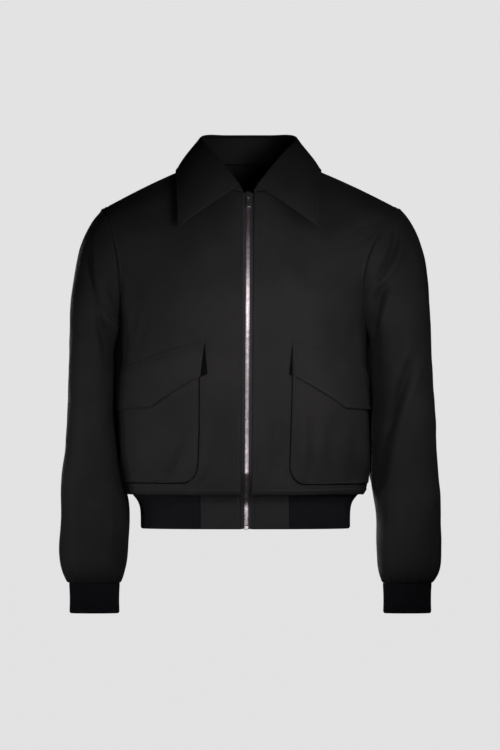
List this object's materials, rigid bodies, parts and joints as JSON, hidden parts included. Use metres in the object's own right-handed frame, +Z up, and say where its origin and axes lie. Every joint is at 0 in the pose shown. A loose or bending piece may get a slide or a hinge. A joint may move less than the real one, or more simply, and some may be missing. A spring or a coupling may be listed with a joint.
{
  "type": "work jacket",
  "caption": "Short zip-front jacket in heavy black twill, filled out as worn: pointed collar, slanted flaps on patch pockets, ribbed waist and wrists, zip pull that swings",
  "frame": {"origin": "on the shoulder line, level with the side of the neck and on the centre plane, where the wearer's shoulders carry the jacket", "axes": "+Z up, -Y the way the jacket faces, +X the wearer's left"},
  "size_m": [0.6085, 0.2635, 0.7631],
  "materials": {
    "twill": "black wool twill with a soft sheen",
    "rib_knit": "matt blue-black rib knit",
    "zip_tape": "woven tape",
    "zip_teeth": "bright polished teeth",
    "zip_metal": "dark plated metal"
  },
  "bodies": {
    "jacket": {"back": "twill", "front_left": "twill", "front_right": "twill", "sleeve_left": "twill", "sleeve_right": "twill", "collar_stand": "twill", "collar_leaf": "twill", "pocket_left": "twill", "pocket_right": "twill", "flap_left": "twill", "flap_right": "twill", "waist_tab_left": "twill", "waist_tab_right": "twill", "hem_rib": "rib_knit", "cuff_left": "rib_knit", "cuff_right": "rib_knit", "zip_tape_left": "zip_tape", "zip_tape_right": "zip_tape", "zip_chain": "zip_teeth", "zip_box": "zip_teeth", "zip_slider": "zip_metal", "zip_top_stop_left": "zip_metal", "zip_top_stop_right": "zip_metal"},
    "pull_tab": {"zip_pull": "zip_metal"}
  },
  "joints": [
    {"name": "pull_swing", "type": "hinge", "parent": "jacket", "child": "pull_tab", "pos_m": [-0.0002, -0.08994, -0.0489], "axis": [-1, 0, 0], "range_deg": [0, 165]}
  ]
}
